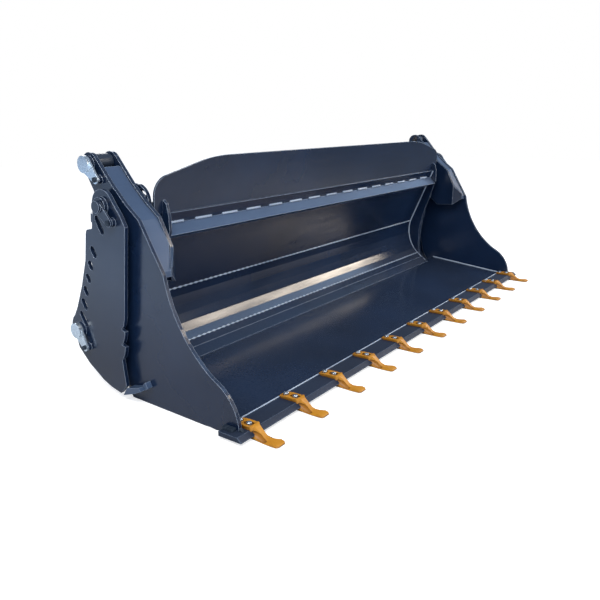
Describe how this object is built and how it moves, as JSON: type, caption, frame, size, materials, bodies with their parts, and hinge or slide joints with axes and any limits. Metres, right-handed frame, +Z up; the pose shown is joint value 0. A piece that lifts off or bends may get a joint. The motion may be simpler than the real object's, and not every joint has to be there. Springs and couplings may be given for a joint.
{
  "type": "four-in-one loader bucket",
  "caption": "Wide loader bucket in two halves: a rear moldboard and a toothed front jaw that opens on end pins, moved by a cylinder at each end.",
  "frame": {"origin": "middle of the overall box, at the ground the bucket rests on", "axes": "+X across the bucket to the right as seen from the front, -Y out of the mouth past the teeth, +Y to the carrier, +Z up; the jaw is shut"},
  "size_m": [2.836, 1.0832, 0.9422],
  "materials": {
    "paint": "semi-gloss anthracite blue-grey enamel",
    "paint_lit": "the same semi-gloss enamel, on the pieces that face the light",
    "cast_teeth": "semi-matt yellow-orange enamel over cast steel",
    "zinc_plate": "bright zinc plating",
    "bare_steel": "rolled steel, lightly painted or bare",
    "hard_chrome": "polished hard chrome",
    "hose_rubber": "matt black rubber cover"
  },
  "bodies": {
    "moldboard": {"back_sheet": "paint", "spill_guard": "paint", "angle_beam": "paint_lit", "rear_cutting_edge": "paint", "upper_tube": "paint", "lower_tube": "paint", "back_ribs": "paint", "keeper_bolts": "bare_steel", "hydraulic_pipes": "zinc_plate", "coupler_block": "zinc_plate", "hydraulic_hoses_left": "hose_rubber", "hydraulic_hoses_right": "hose_rubber", "outer_side_plate_left": "paint", "outer_side_plate_right": "paint", "end_plate_left": "paint", "end_plate_right": "paint", "pivot_plate_left": "paint", "pivot_plate_right": "paint", "side_box_left": "paint", "side_box_right": "paint", "hanger_left": "paint", "hanger_right": "paint", "pivot_pin_left": "paint", "pivot_pin_right": "paint", "base_pin_left": "zinc_plate", "base_pin_right": "zinc_plate"},
    "jaw": {"jaw_floor": "paint", "jaw_cutting_edge": "paint", "jaw_underskin": "paint", "heel_bar": "bare_steel", "toe_strips": "bare_steel", "stop_bars": "paint_lit", "tooth_bolts": "zinc_plate", "tooth_nuts": "zinc_plate", "lever_keeper_bolts": "bare_steel", "jaw_side_plate_left": "paint", "jaw_side_plate_right": "paint", "arm_inner_plate_left": "paint", "arm_inner_plate_right": "paint", "arm_cover_left": "paint_lit", "arm_cover_right": "paint_lit", "pivot_bush_left": "bare_steel", "pivot_bush_right": "bare_steel", "lever_pin_left": "zinc_plate", "lever_pin_right": "zinc_plate", "tooth_1": "cast_teeth", "tooth_2": "cast_teeth", "tooth_3": "cast_teeth", "tooth_4": "cast_teeth", "tooth_5": "cast_teeth", "tooth_6": "cast_teeth", "tooth_7": "cast_teeth", "tooth_8": "cast_teeth", "tooth_9": "cast_teeth", "tooth_10": "cast_teeth", "tooth_11": "cast_teeth"},
    "barrel_left": {"barrel_left": "paint"},
    "barrel_right": {"barrel_right": "paint"},
    "rod_left": {"rod_left": "hard_chrome"},
    "rod_right": {"rod_right": "hard_chrome"}
  },
  "joints": [
    {"name": "jaw_open", "type": "hinge", "parent": "moldboard", "child": "jaw", "pos_m": [0, 0.19026, 0.7556], "axis": [-1, 0, 0], "range_deg": [0, 50]},
    {"name": "barrel_left_swing", "type": "hinge", "parent": "moldboard", "child": "barrel_left", "pos_m": [0, 0.41214, 0.24871], "axis": [-1, 0, 0], "range_deg": [0, 5.6], "deforming": ["hydraulic_hoses_left"]},
    {"name": "rod_left_slide", "type": "slide", "parent": "barrel_left", "child": "rod_left", "axis": [0, -0.1725, 0.985], "range_m": [-0.1425, 0]},
    {"name": "barrel_right_swing", "type": "hinge", "parent": "moldboard", "child": "barrel_right", "pos_m": [0, 0.41214, 0.24871], "axis": [-1, 0, 0], "range_deg": [0, 5.6], "deforming": ["hydraulic_hoses_right"]},
    {"name": "rod_right_slide", "type": "slide", "parent": "barrel_right", "child": "rod_right", "axis": [0, -0.1725, 0.985], "range_m": [-0.1425, 0]}
  ],
  "couplings": [
    {"joint": "barrel_left_swing", "follows": "jaw_open", "ratio": 0.1114},
    {"joint": "rod_left_slide", "follows": "jaw_open", "m_per_rad": -0.1632},
    {"joint": "barrel_right_swing", "follows": "jaw_open", "ratio": 0.1114},
    {"joint": "rod_right_slide", "follows": "jaw_open", "m_per_rad": -0.1632}
  ]
}
